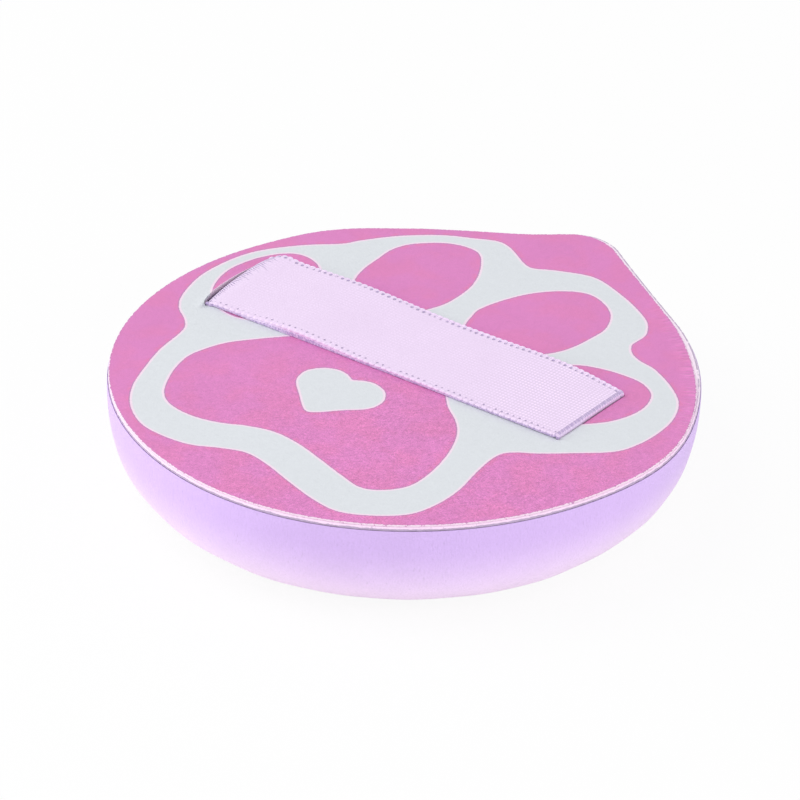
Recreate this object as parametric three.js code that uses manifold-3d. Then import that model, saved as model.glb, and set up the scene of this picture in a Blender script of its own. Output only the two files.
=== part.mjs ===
import * as THREE from 'three';
import { mergeVertices } from 'three/addons/utils/BufferGeometryUtils.js';
import Module from 'manifold-3d';

// A drop-shaped makeup puff with a ribbon finger strap. Millimetres, +Z up, the tip towards +Y.
// It lies on its soft side with its printed face up. The origin is on the table, under the middle
// of the outline.

// Plan: a round end drawn out to a blunt tip by two flanks that are a little hollow
const roundRadius = 37.5;
const tipRise = 6; // how far the tip stands out beyond the round end's circle
const tipRadius = 6.3;
const flankRadius = 300;

// Side: it leaves the rim upright and curves in to a flat sole
const puffHeight = 15.5; // from the table to the top of the printed face
const soleInset = 15;
const sideFullness = 2.7; // power of the curve: 2 is an ellipse, more is squarer
const tipDrawShare = 1.15; // the tip draws in by this share of an inset
const tipRoundingShare = 0.55; // and its radius grows by this one

// The face: printed cloth on a pale backing sheet, with hot-melt film beneath
const printThickness = 0.25;
const backingThickness = 0.5;
const filmThickness = 0.125;
const printSetback = 0.125;
const filmSetback = 0.25;

// The body: a soft cover round a foam core
const coverWall = 1.5;
const coreGap = 0.3;
const rimRounding = 0.4; // the cover's outer edge is eased where it meets the face

// The finger strap: one ribbon whose ends go down through two slits
const ribbonWidth = 15;
const ribbonThickness = 0.35;
const ribbonGap = 0.3; // under the ribbon, beside a slit
const ribbonCrown = 0.5; // how much higher its middle stands
const bendRadius = 0.4; // to the middle of the ribbon's thickness
const bendRun = 0.5; // the straight run from each top bend to the free span
const spanGap = 0.3; // between the free span and each end piece
const leftSlitMargin = 6.7; // from the round's widest point to the slit
const rightSlitMargin = 12.8;
const strapForward = 6; // the strap's middle, tipwards of the round's centre
const slitClearance = 0.3;

// The ribbon's tails, folded back under the face and held by tabs
const tailLength = 10;
const tabThickness = 0.25;
const tabMargin = 1;
const tabCorner = 1.5;
const pocketGap = 0.3;
const cutOverrun = 1;

// Steps along each curve
const roundSteps = 44;
const flankSteps = 5;
const tipSteps = 10;
const sideSteps = 10;
const innerSteps = 6;
const bendSteps = 6;
const crownSteps = 24;
const cornerSteps = 6;

// Heights of the layers, and places that follow from the sizes above
const backingTop = puffHeight - printThickness;
const filmTop = backingTop - backingThickness;
const rimTop = filmTop - filmThickness;
const tipReach = roundRadius + tipRise; // from the centre of the round end to the tip
const roundCentreY = -tipRise / 2;
const leftSlitX = leftSlitMargin - roundRadius;
const rightSlitX = roundRadius - rightSlitMargin;
const strapX = (leftSlitX + rightSlitX) / 2;
const strapY = roundCentreY + strapForward;
const halfSpan = (rightSlitX - leftSlitX) / 2;
const slitHalfWidth = ribbonThickness / 2 + slitClearance;
const ribbonLevel = puffHeight + ribbonGap + ribbonThickness / 2;
const tailLevel = rimTop - ribbonThickness / 2;
const tabTop = rimTop - ribbonThickness;

const materials = {
  print: new THREE.MeshStandardMaterial({ color: 0xde8fc6, roughness: 0.9, metalness: 0 }),
  backing: new THREE.MeshStandardMaterial({ color: 0xf4e3f0, roughness: 0.85, metalness: 0 }),
  film: new THREE.MeshStandardMaterial({ color: 0xa895b8, roughness: 0.5, metalness: 0 }),
  cover: new THREE.MeshStandardMaterial({ color: 0xe2c6f2, roughness: 0.95, metalness: 0 }),
  foam: new THREE.MeshStandardMaterial({ color: 0xf2ebf5, roughness: 0.95, metalness: 0 }),
  ribbon: new THREE.MeshStandardMaterial({ color: 0xeedbf7, roughness: 0.55, metalness: 0 }),
  tab: new THREE.MeshStandardMaterial({ color: 0xf3f0ec, roughness: 0.9, metalness: 0 }),
};

const wasm = await Module();
wasm.setup();

function toSolid(geometry) {
  const bare = geometry.clone();
  bare.deleteAttribute('normal');
  bare.deleteAttribute('uv');
  const merged = mergeVertices(bare);
  const vertProperties = merged.getAttribute('position').array;
  const triVerts = new Uint32Array(merged.getIndex().array);
  return new wasm.Manifold(new wasm.Mesh({ numProp: 3, vertProperties, triVerts }));
}

function toGeometry(solid) {
  const mesh = solid.getMesh();
  const geometry = new THREE.BufferGeometry();
  geometry.setAttribute('position', new THREE.BufferAttribute(mesh.vertProperties, 3));
  geometry.setIndex(new THREE.BufferAttribute(mesh.triVerts, 1));
  return geometry;
}

function namedMesh(name, geometry, material) {
  const mesh = new THREE.Mesh(geometry, material);
  mesh.name = name;
  return mesh;
}

// The drop's outline at one inset from the edge, counter-clockwise, round its own four arcs
function dropOutline(inset) {
  const round = roundRadius - inset;
  const tip = tipRadius + inset * tipRoundingShare;
  const tipCentre = tipReach - inset * tipDrawShare - tip;
  const toRound = flankRadius + round;
  const toTip = flankRadius + tip;
  const flankY = (toRound ** 2 - toTip ** 2 + tipCentre ** 2) / (2 * tipCentre);
  const flankX = Math.sqrt(toRound ** 2 - flankY ** 2);
  const roundEnd = Math.atan2(flankY, flankX);
  const tipEnd = Math.atan2(flankY - tipCentre, flankX);
  const arc = (x, y, radius, from, to, clockwise, steps) =>
    new THREE.EllipseCurve(x, y, radius, radius, from, to, clockwise).getPoints(steps).slice(0, -1);
  const points = [
    ...arc(0, 0, round, Math.PI - roundEnd, 2 * Math.PI + roundEnd, false, roundSteps),
    ...arc(flankX, flankY, flankRadius, Math.PI + roundEnd, Math.PI + tipEnd, true, flankSteps),
    ...arc(0, tipCentre, tip, tipEnd, Math.PI - tipEnd, false, tipSteps),
    ...arc(-flankX, flankY, flankRadius, -tipEnd, -roundEnd, true, flankSteps),
  ];
  return points.map((p) => new THREE.Vector2(p.x, p.y + roundCentreY));
}

// Skins a row of rings that have equally many points, and closes its two ends with flat caps
function loft(rings) {
  const size = rings[0].points.length;
  const position = rings.flatMap(({ points, z }) => points.flatMap((p) => [p.x, p.y, z]));
  const index = [];
  for (let ring = 0; ring + 1 < rings.length; ring++) {
    for (let side = 0; side < size; side++) {
      const a = ring * size + side;
      const b = ring * size + ((side + 1) % size);
      index.push(a + size, b + size, a, b + size, b, a);
    }
  }
  const lastStart = (rings.length - 1) * size;
  for (const [a, b, c] of THREE.ShapeUtils.triangulateShape(rings[0].points, [])) {
    index.push(a, b, c);
  }
  for (const [a, b, c] of THREE.ShapeUtils.triangulateShape(rings.at(-1).points, [])) {
    index.push(lastStart + a, lastStart + c, lastStart + b);
  }
  const geometry = new THREE.BufferGeometry();
  geometry.setAttribute('position', new THREE.Float32BufferAttribute(position, 3));
  geometry.setIndex(index);
  return geometry;
}

// Rings down the bowl, a wall's thickness inside its outer surface: a superellipse from rim to sole
function bowlRings(wall, steps) {
  const power = 2 / sideFullness;
  return Array.from({ length: steps + 1 }, (_, step) => {
    const turn = (step / steps) * (Math.PI / 2);
    const drawn = step < steps ? 1 - Math.cos(turn) ** power : 1;
    const inset = wall + (soleInset - wall) * drawn;
    const z = wall + (rimTop - wall) * (1 - Math.sin(turn) ** power);
    return { points: dropOutline(inset), z };
  });
}

// Up the inside from the floor, over the rim and down the outside to the sole, so it is open on top
function softCover() {
  const [, ...outside] = bowlRings(0, sideSteps);
  const inside = bowlRings(coverWall, innerSteps).reverse();
  const rim = [
    { points: dropOutline(rimRounding), z: rimTop },
    { points: dropOutline(0), z: rimTop - rimRounding },
  ];
  const below = outside.filter((ring) => ring.z < rimTop - rimRounding);
  return namedMesh('soft_cover', loft([...inside, ...rim, ...below]), materials.cover);
}

function roundedRectangle(left, right, halfLength, radius) {
  const shape = new THREE.Shape();
  shape.absarc(right - radius, radius - halfLength, radius, -Math.PI / 2, 0, false);
  shape.absarc(right - radius, halfLength - radius, radius, 0, Math.PI / 2, false);
  shape.absarc(left + radius, halfLength - radius, radius, Math.PI / 2, Math.PI, false);
  shape.absarc(left + radius, radius - halfLength, radius, Math.PI, 1.5 * Math.PI, false);
  shape.closePath();
  return shape;
}

// A flat slab of a shape, from one height up to another
function slab(shape, bottom, top, steps) {
  const options = { depth: top - bottom, bevelEnabled: false, curveSegments: steps };
  return new THREE.ExtrudeGeometry(shape, options).translate(0, 0, bottom);
}

// Places one end's geometry at the strap: the right end as drawn, the left end turned half round
function atStrap(geometry, turn) {
  return geometry.rotateZ(turn).translate(strapX, strapY, 0);
}

// Room in the core for a tail, its bend and its tab
function tailPocket(turn) {
  const inner = halfSpan - bendRadius - tailLength - tabMargin - pocketGap;
  const outer = halfSpan + ribbonThickness / 2 + pocketGap;
  const shape = roundedRectangle(inner, outer, ribbonWidth / 2 + tabMargin + pocketGap, tabCorner);
  const floor = tabTop - tabThickness - pocketGap;
  return toSolid(atStrap(slab(shape, floor, rimTop + cutOverrun, cornerSteps), turn));
}

function foamCore() {
  const whole = toSolid(loft(bowlRings(coverWall + coreGap, innerSteps)));
  const cut = whole.subtract(tailPocket(0)).subtract(tailPocket(Math.PI));
  return namedMesh('foam_core', toGeometry(cut), materials.foam);
}

// A slit with round ends, as a punch leaves it
function slit(x) {
  const halfLength = ribbonWidth / 2 + slitClearance;
  const path = new THREE.Path();
  path.absarc(x, strapY + halfLength, slitHalfWidth, 0, Math.PI, false);
  path.absarc(x, strapY - halfLength, slitHalfWidth, Math.PI, 2 * Math.PI, false);
  path.closePath();
  return path;
}

// One layer of the face, with both slits through it
function faceLayer(name, inset, bottom, top, material) {
  const shape = new THREE.Shape(dropOutline(inset));
  shape.holes.push(slit(leftSlitX), slit(rightSlitX));
  return namedMesh(name, slab(shape, bottom, top, cornerSteps), material);
}

// A side view, drawn in X and Z, made as wide as the ribbon and centred across it
function ribbonBand(shape, steps) {
  const options = { depth: ribbonWidth, bevelEnabled: false, curveSegments: steps };
  const band = new THREE.ExtrudeGeometry(shape, options);
  return band.rotateX(Math.PI / 2).translate(0, ribbonWidth / 2, 0);
}

// The free span: two arcs a ribbon's thickness apart that rise to the crown
function strapSpan() {
  const half = halfSpan - bendRadius - bendRun - spanGap;
  const radius = (half ** 2 + ribbonCrown ** 2) / (2 * ribbonCrown);
  const centre = ribbonLevel + ribbonCrown - radius;
  const lean = Math.asin(half / radius);
  const shape = new THREE.Shape();
  const outer = radius + ribbonThickness / 2;
  const inner = radius - ribbonThickness / 2;
  shape.absarc(0, centre, outer, Math.PI / 2 - lean, Math.PI / 2 + lean, false);
  shape.absarc(0, centre, inner, Math.PI / 2 + lean, Math.PI / 2 - lean, true);
  shape.closePath();
  return namedMesh('strap_span', atStrap(ribbonBand(shape, crownSteps), 0), materials.ribbon);
}

// An end of the ribbon: over the top bend, down through the slit, and back under the face
function strapEnd(name, turn) {
  const half = ribbonThickness / 2;
  const bendX = halfSpan - bendRadius;
  const topZ = ribbonLevel - bendRadius;
  const tailZ = tailLevel + bendRadius;
  const start = bendX - bendRun;
  const end = bendX - tailLength;
  const shape = new THREE.Shape();
  shape.moveTo(start, ribbonLevel + half);
  shape.absarc(bendX, topZ, bendRadius + half, Math.PI / 2, 0, true);
  shape.absarc(bendX, tailZ, bendRadius + half, 0, -Math.PI / 2, true);
  shape.lineTo(end, tailLevel - half);
  shape.lineTo(end, tailLevel + half);
  shape.absarc(bendX, tailZ, bendRadius - half, -Math.PI / 2, 0, false);
  shape.absarc(bendX, topZ, bendRadius - half, 0, Math.PI / 2, false);
  shape.lineTo(start, ribbonLevel - half);
  shape.closePath();
  return namedMesh(name, atStrap(ribbonBand(shape, bendSteps), turn), materials.ribbon);
}

// A tab that bonds a tail to the film from below
function tailTab(name, turn) {
  const outer = halfSpan - bendRadius;
  const inner = outer - tailLength - tabMargin;
  const shape = roundedRectangle(inner, outer, ribbonWidth / 2 + tabMargin, tabCorner);
  const geometry = slab(shape, tabTop - tabThickness, tabTop, cornerSteps);
  return namedMesh(name, atStrap(geometry, turn), materials.tab);
}

const puff = new THREE.Group();
puff.add(
  faceLayer('printed_face', printSetback, backingTop, puffHeight, materials.print),
  faceLayer('face_backing', 0, filmTop, backingTop, materials.backing),
  faceLayer('adhesive_film', filmSetback, rimTop, filmTop, materials.film),
  softCover(),
  foamCore(),
  strapSpan(),
  strapEnd('strap_end_left', Math.PI),
  strapEnd('strap_end_right', 0),
  tailTab('tail_tab_left', Math.PI),
  tailTab('tail_tab_right', 0),
);

export default puff;
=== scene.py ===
"""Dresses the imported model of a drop-shaped makeup puff: its printed cloth, pale rim, plush body and ribbon strap."""

import math

import bpy
import numpy as np
from bpy.props import FloatProperty, FloatVectorProperty
from mathutils import Matrix, Vector


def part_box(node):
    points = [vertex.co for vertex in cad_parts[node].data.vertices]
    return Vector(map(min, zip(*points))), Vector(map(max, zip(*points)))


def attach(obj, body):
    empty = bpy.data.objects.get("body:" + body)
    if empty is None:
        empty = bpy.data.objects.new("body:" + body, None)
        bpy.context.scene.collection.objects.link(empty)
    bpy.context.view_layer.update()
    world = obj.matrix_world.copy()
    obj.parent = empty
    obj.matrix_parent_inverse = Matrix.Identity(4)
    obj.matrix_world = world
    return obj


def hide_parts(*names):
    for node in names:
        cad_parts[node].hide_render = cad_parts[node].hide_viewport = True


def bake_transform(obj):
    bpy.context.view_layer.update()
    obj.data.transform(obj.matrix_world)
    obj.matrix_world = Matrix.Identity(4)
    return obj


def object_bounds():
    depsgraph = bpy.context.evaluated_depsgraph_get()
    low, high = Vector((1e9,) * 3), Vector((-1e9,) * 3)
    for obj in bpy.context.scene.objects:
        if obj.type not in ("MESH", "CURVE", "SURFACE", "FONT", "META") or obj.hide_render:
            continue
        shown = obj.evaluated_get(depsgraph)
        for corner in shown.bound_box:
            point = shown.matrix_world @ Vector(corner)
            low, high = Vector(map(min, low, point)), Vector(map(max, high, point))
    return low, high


bl_info = {
    "name": "Drop-shaped makeup puff",
    "version": (1, 0, 0),
    "blender": (4, 5, 0),
    "location": "View3D > Sidebar > Puff",
    "description": "Cloth, plush, ribbon and stage for the packed model of a makeup puff",
    "category": "Object",
}

MM = 0.001
QUARTER_TURN = math.pi / 2

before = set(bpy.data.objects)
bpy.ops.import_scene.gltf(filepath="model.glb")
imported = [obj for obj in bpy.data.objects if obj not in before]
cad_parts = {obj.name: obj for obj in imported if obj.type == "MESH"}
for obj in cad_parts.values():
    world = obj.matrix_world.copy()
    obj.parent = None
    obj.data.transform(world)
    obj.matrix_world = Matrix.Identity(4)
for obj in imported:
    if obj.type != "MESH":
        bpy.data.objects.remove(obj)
CAD_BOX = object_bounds()

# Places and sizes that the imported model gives
BACKING_LOW, BACKING_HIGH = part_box("face_backing")
CLOTH_LOW, CLOTH_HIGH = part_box("printed_face")
FILM_LOW, FILM_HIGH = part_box("adhesive_film")
CORE_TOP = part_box("foam_core")[1].z
LEFT_END_LOW, LEFT_END_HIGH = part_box("strap_end_left")
RIGHT_END_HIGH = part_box("strap_end_right")[1]

ROUND_RADIUS = (BACKING_HIGH.x - BACKING_LOW.x) / 2
ROUND_CENTRE = np.array([0.0, BACKING_LOW.y + ROUND_RADIUS])
TIP_REACH = BACKING_HIGH.y - ROUND_CENTRE[1]
CLOTH_SETBACK = BACKING_HIGH.y - CLOTH_HIGH.y
FILM_SETBACK = BACKING_HIGH.y - FILM_HIGH.y
RIM_TOP = FILM_LOW.z
FACE_MIDDLE = (BACKING_LOW.z + BACKING_HIGH.z) / 2
RIBBON_WIDTH = LEFT_END_HIGH.y - LEFT_END_LOW.y
HALF_WIDTH = RIBBON_WIDTH / 2
STRAP_X = (LEFT_END_LOW.x + RIGHT_END_HIGH.x) / 2
STRAP_Y = (LEFT_END_HIGH.y + LEFT_END_LOW.y) / 2

# Steps along each surface and round it
ROUND_STEPS = 488
FLANK_STEPS = 48
TIP_STEPS = 28
FACE_RINGS = 130
FADE_RINGS = 8
PLAIN_RINGS = 10
UNDERSIDE_RINGS = 4
SIDE_RINGS = 84
SOLE_RINGS = 24
INNER_RINGS = 20
SPLINE_STEPS = 10
SLIT_STEPS = 40
CORNER_STEPS = 10
SPAN_STEPS = 190
BEND_STEPS = 10
DROP_STEPS = 4
TAIL_STEPS = 20
ACROSS_STEPS = 116
EDGE_STEPS = 5
STITCH_STEPS = 10
THREAD_SIDES = 8

# Lines of the print, in thousandths of the round end's radius from its centre
PALE_LINE = [
    (-117, 857), (-84, 844), (-56, 847), (16, 885), (140, 922), (280, 880), (400, 820), (461, 775), (494, 728),
    (506, 690), (503, 630), (511, 608), (528, 585), (555, 565), (592, 551), (660, 535), (762, 478), (847, 402),
    (893, 299), (903, 190), (891, 94), (854, 11), (750, -79), (661, -151), (608, -184), (573, -218), (562, -256),
    (562, -305), (570, -379), (589, -500), (585, -621), (550, -723), (460, -801), (351, -849), (240, -837), (101, -793),
    (-11, -753), (-110, -736), (-198, -765), (-291, -808), (-400, -818), (-502, -799), (-604, -724), (-676, -613),
    (-723, -471), (-747, -367), (-757, -262), (-771, -205), (-808, -160), (-869, -110), (-912, -31), (-939, 100),
    (-931, 222), (-904, 325), (-857, 406), (-777, 497), (-685, 580), (-645, 644), (-564, 744), (-448, 838), (-350, 885),
    (-270, 920), (-207, 910),
]
TOE_LINES = [
    [
        (-742, 430), (-660, 405), (-590, 320), (-560, 200), (-570, 80), (-620, -20), (-690, -45), (-770, -20),
        (-850, 55), (-886, 180), (-866, 300), (-810, 395),
    ],
    [
        (-527, 580), (-527, 654), (-495, 726), (-412, 797), (-330, 822), (-263, 806), (-200, 720), (-162, 621),
        (-155, 520), (-170, 430), (-240, 310), (-340, 280), (-440, 320), (-500, 400), (-522, 482),
    ],
    [
        (-46, 504), (-20, 596), (29, 694), (100, 772), (181, 814), (259, 798), (330, 745), (370, 660), (367, 580),
        (345, 470), (300, 390), (220, 310), (120, 290), (30, 320), (-20, 380), (-40, 452),
    ],
    [
        (420, 390), (501, 428), (600, 441), (679, 433), (742, 392), (770, 320), (765, 240), (730, 160), (670, 95),
        (620, 60), (550, 40), (460, 80), (400, 180), (390, 300),
    ],
]
PAD_LINE = [
    (-441, -29), (-523, -116), (-597, -207), (-639, -320), (-639, -400), (-615, -488), (-566, -587), (-500, -640),
    (-400, -656), (-300, -637), (-208, -597), (-110, -574), (1, -587), (122, -624), (231, -660), (320, -682),
    (390, -652), (443, -581), (451, -480), (430, -350), (386, -232), (327, -153), (250, -91), (192, -28), (100, 60),
    (-20, 120), (-120, 130), (-250, 110), (-360, 60),
]
HEART_LINE = [
    (-110, -142), (-70, -121), (-30, -116), (20, -136), (52, -180), (56, -226), (36, -270), (-20, -321), (-76, -382),
    (-110, -400), (-142, -380), (-201, -321), (-253, -267), (-270, -225), (-268, -181), (-236, -139), (-190, -118),
    (-150, -121), (-110, -142),
]

# Where the cut edge strays from the drop: angle and width round the round end in degrees, and how far in metres. The
# first table is for the whole rim, the second for the cloth alone.
RIM_STRAYS = [
    (6, 17, 0.9 * MM), (-50, 30, -0.5 * MM), (-105, 30, -0.2 * MM), (70, 28, 0.3 * MM),
    (94, 5, 0.25 * MM), (102, 7, -0.3 * MM), (128, 6, -0.18 * MM), (142, 9, 0.4 * MM),
]
CLOTH_STRAYS = [
    (45, 14, -0.5 * MM), (85, 20, -0.15 * MM), (70, 28, -0.3 * MM), (86, 7, -0.2 * MM), (-155, 32, 0.2 * MM)
]

# Swells of the ribbon: centre and width along the half span and side across, as shares, and how much
# of the swell's height each has. Side -1 is the edge towards the round end, 1 the edge towards the tip.
RIBBON_SWELL_SHARES = [
    (-0.46, 0.28, -1, 0.90), (0.18, 0.22, -1, 0.22), (-0.48, 0.34, 1, 0.85), (0.58, 0.28, 1, 0.45),
    (-0.93, 0.07, 1, 0.55),
]

# Soft unevenness of the face: millimetres along X and along Y for one radian of each wave, and its start
FACE_WAVES = [(3.9, 7.1, 0), (8.3, -3.2, 1.3), (11, 2.6, 4)]
# The same of the plush side: turns round the rim, radians from the sole to the rim, and the start
SIDE_WAVES = [(7, 5, 0), (13, -8, 2), (23, 11, 0)]
WAVER_TURNS = (90, 300)  # least and most waves round the rim in a cut edge's waver

# Where things change along the ribbon or across it, in metres
BOW_TOP = 1.2 * MM  # across: where the left end bows out most
NARROW_START, NARROW_RUN = -6 * MM, 11 * MM  # across: where the left slit starts to narrow, and for how far
NARROWED = 0.75  # share of its clearance that it loses
LIFT_END, LIFT_RUN = 5 * MM, 9 * MM  # across: where the left slit's lifted lip ends, and how long it fades
DRAW_START = 3 * MM  # across: where the drawn-in back corner starts
UNROLL_RUN = 0.8 * MM  # along: how far from its slit the rolled edge opens
BOW_RUN = 4 * MM  # along: how far from its end the ribbon starts to bow out or slant
DIP_RUN, DIP_SHARE = 1.3 * MM, 0.55  # along: how long the left end's dip is, and the share of the width where it ends
GATHER_REACH = 2.3 * MM  # along: the longest creases at the left end
HOVER = 0.03 * MM  # the rolled edge's clearance above the face
SAG_POWER, SLIT_POWER = 12, 8  # how late the sag fades out along the ribbon, and how blunt a slit's ends are
DIP_FADE, LIP_FADE = 4, 3  # how fast the dip ends across the ribbon, and a slit's lip away from it
FLOOR_GAP = 0.05 * MM  # the floor's clearance below the sole

# The edge thread: how far it lies up and out from the ribbon's middle, as shares of the ribbon's thickness, its least
# radius as a share of the largest, and the power by which it swells
THREAD_UP, THREAD_OUT, THREAD_LEAST, THREAD_POWER = 0.4, 0.25, 0.3, 0.6

SENSOR_WIDTH = 36


def linear(red, green, blue):
    """A colour written as on a screen, from 0 to 255, as the linear light that the shaders use."""
    screen = np.array([red, green, blue]) / 255
    light = np.where(screen <= 0.04045, screen / 12.92, ((screen + 0.055) / 1.055) ** 2.4)
    return tuple(float(x) for x in light)


def length(name, description, default):
    """A length that a user may change, in metres."""
    return FloatProperty(name=name, description=description, default=default, unit="LENGTH", precision=5)


def share(name, description, default):
    """A number without a unit that a user may change."""
    return FloatProperty(name=name, description=description, default=default, precision=3)


def tint(name, description, default):
    """A colour that a user may change."""
    return FloatVectorProperty(
        name=name, description=description, default=linear(*default), subtype="COLOR", min=0, max=1
    )


class PuffShape(bpy.types.PropertyGroup):
    """Sizes of the puff's body"""

    tip_radius: length("Tip radius", "Radius of the blunt tip", 6.3 * MM)
    flank_radius: length("Flank radius", "Radius of the hollow flanks", 300 * MM)
    sole_inset: length("Sole inset", "How far the side draws in from the rim to the sole", 15 * MM)
    side_fullness: share("Side fullness", "Power of the side's curve; 2 is an ellipse", 2.62)
    stray_start: length("Stray start", "Height from which the side follows the rim's strays", 6 * MM)
    tip_draw: share("Tip draw", "Share of an inset by which the tip draws in", 1.15)
    tip_rounding: share("Tip rounding", "Share of an inset by which the tip's radius grows", 0.55)
    cover_wall: length("Cover wall", "Thickness of the plush cover", 1.5 * MM)
    core_gap: length("Core gap", "Clearance between the cover and the foam", 0.3 * MM)
    pile_lip: length("Pile lip", "How far the plush stands up in front of the groove", 0.15 * MM)
    pile_reach: length("Pile reach", "Half the thickness of that lip", 0.05 * MM)
    edge_ease: length("Edge ease", "How much the corners of the face layers are eased", 0.06 * MM)
    edge_waver: length("Edge waver", "How far the cut edge strays from its line", 0.025 * MM)
    cloth_tuck: length("Cloth tuck", "How much smaller the cloth is cut than the rim below", 0.2 * MM)
    rim_tuck: length("Rim tuck", "How far the rim stays inside the plush", 0.12 * MM)
    rim_slope: length("Rim slope", "How far the rim's cut edge leans in", 0.12 * MM)
    stain_top: length("Stain top", "How far up its cut edge the backing is stained by the film", 0.28 * MM)
    left_clearance: length("Left clearance", "Half of what the left slit is wider than the ribbon in front", 0.34 * MM)
    right_clearance: length("Right clearance", "Half of what the right slit is wider than the ribbon", 0.06 * MM)
    left_shift: length("Left shift", "How far the left slit's middle is beyond the ribbon's", 0.2 * MM)
    slit_spare: length("Slit spare", "How far a slit goes on beyond each edge of the ribbon", 0.03 * MM)
    lip_drop: length("Lip drop", "How far the ribbon presses down the near lip of a slit", 0.2 * MM)
    lip_lift: length("Lip lift", "How far the far lip of the left slit stands up", 0.22 * MM)
    lip_reach: length("Lip reach", "How far from a slit its lips keep their height", 1.1 * MM)
    ripple: length("Ripple", "Height of the face's soft ripples", 0.06 * MM)
    side_ripple: length("Side ripple", "Depth of the plush's soft unevenness", 0.12 * MM)
    tab_corner: length("Tab corner", "Corner radius of the tabs", 1.5 * MM)


class PuffRibbon(bpy.types.PropertyGroup):
    """Sizes of the ribbon strap"""

    thickness: length("Thickness", "Thickness of the ribbon", 0.35 * MM)
    bend_radius: length("Bend radius", "Radius of the bends, at the middle of the thickness", 0.4 * MM)
    fold_radius: length("Fold radius", "Radius of the sharp fold at the right end", 0.2 * MM)
    fold_tuck: length("Fold tuck", "How much the right fold stays back from its slot's middle", 0.06 * MM)
    slant: length("Slant", "How much further out the right fold is at the back than in front", 0.44 * MM)
    bow: length("Bow", "How far the middle of the left end bows out", 0.28 * MM)
    bow_reach: length("Bow reach", "From the bow's top forwards to where it is back in line", 4.9 * MM)
    bow_back: length("Bow back", "From the bow's top backwards to where it is back in line", 3.0 * MM)
    squeeze: length("Squeeze", "How far each edge is drawn in where the ribbon drops", 0.16 * MM)
    dip: length("Dip", "How far the left end sinks into its slit", 0.5 * MM)
    pinch: length("Pinch", "How far the back corner of the left end is drawn in", 1.5 * MM)
    pinch_reach: length("Pinch reach", "How far from its end that corner starts to draw in", 3.2 * MM)
    taper: length("Taper", "How far the back corner of the right end is drawn in", 1.35 * MM)
    taper_reach: length("Taper reach", "How far from its end that corner starts to draw in", 10 * MM)
    roll_radius: length("Roll radius", "Radius by which the edges roll down", 0.12 * MM)
    roll_fall: length("Roll fall", "How far the rolled edges go on straight down", 0.02 * MM)
    fringe: length("Fringe", "The most that a rolled edge reaches down to the face", 0.85 * MM)
    thread_radius: length("Thread radius", "Largest radius of the edge thread", 0.22 * MM)
    stitch_pitch: length("Stitch pitch", "Distance from one edge loop to the next", 0.92 * MM)
    stitch_inset: length("Stitch inset", "Distance of the stitch holes from the edge", 0.62 * MM)
    swell: length("Swell", "Height of the ribbon's highest swell above its ends", 0.75 * MM)
    sag: length("Sag", "How far the ribbon settles towards the face between its swells", 0.12 * MM)
    weave_pitch: length("Weave pitch", "Distance between the woven checks", 0.46 * MM)


class PuffColours(bpy.types.PropertyGroup):
    """Colours of the puff's pieces"""

    pink: tint("Pink", "Printed ground and pads", (218, 132, 193))
    hot_pink: tint("Hot pink", "Ink where it pools along the print's edges", (224, 130, 180))
    pale: tint("Pale", "Unprinted cloth", (219, 223, 228))
    halo: tint("Halo", "Thin line of stray ink along the print's edges", (246, 220, 238))
    rim: tint("Rim", "Cut edge of the backing sheet", (251, 222, 248))
    film: tint("Film", "Hot-melt film in the groove", (158, 140, 172))
    plush: tint("Plush", "Cover near the rim", (217, 187, 243))
    # Painted light: a paler, lit copy of the plush, used near the sole.
    plush_lit_low: tint("Low plush", "Cover near the sole", (255, 232, 255))
    foam: tint("Foam", "Foam core", (244, 238, 247))
    ribbon: tint("Ribbon", "Satin of the strap", (236, 215, 244))
    fold: tint("Fold", "Satin in the shade of its folds", (172, 152, 198))
    thread: tint("Thread", "Looped edge of the ribbon", (255, 247, 255))
    tab: tint("Tab", "Bonding tabs", (243, 240, 236))


class PuffStage(bpy.types.PropertyGroup):
    """The stage: floor, lights and camera"""

    floor_size: length("Floor size", "Side of the square floor", 4.0)
    key_power: share("Key power", "Power of the large lamp overhead, in watts", 1.4)
    left_power: share("Left power", "Power of the low lamp on the left, in watts", 1.5)
    right_power: share("Right power", "Power of the low lamp on the right, in watts", 1.4)
    front_power: share("Front power", "Power of the low lamp in front, in watts", 0.9)
    sky: share("Sky", "Strength of the even light all round", 0.68)
    floor_glow: share("Floor glow", "Share of plain white in the floor as the camera sees it", 0.91)
    aim: FloatVectorProperty(
        name="Aim",
        description="Point that the camera looks at",
        default=(3.54 * MM, -8.67 * MM, 15.5 * MM),
        subtype="XYZ_LENGTH",
        precision=5,
    )
    azimuth: share("Azimuth", "Camera's angle round the puff, in degrees", 35.60)
    elevation: share("Elevation", "Camera's angle above the table, in degrees", 30.81)
    roll: share("Roll", "Camera's turn about its own view, in degrees", 1.04)
    distance: length("Distance", "From the aim point to the camera", 1.0446)
    lens: share("Lens", "Focal length in millimetres on a 36 mm sensor", 374.6)


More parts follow.
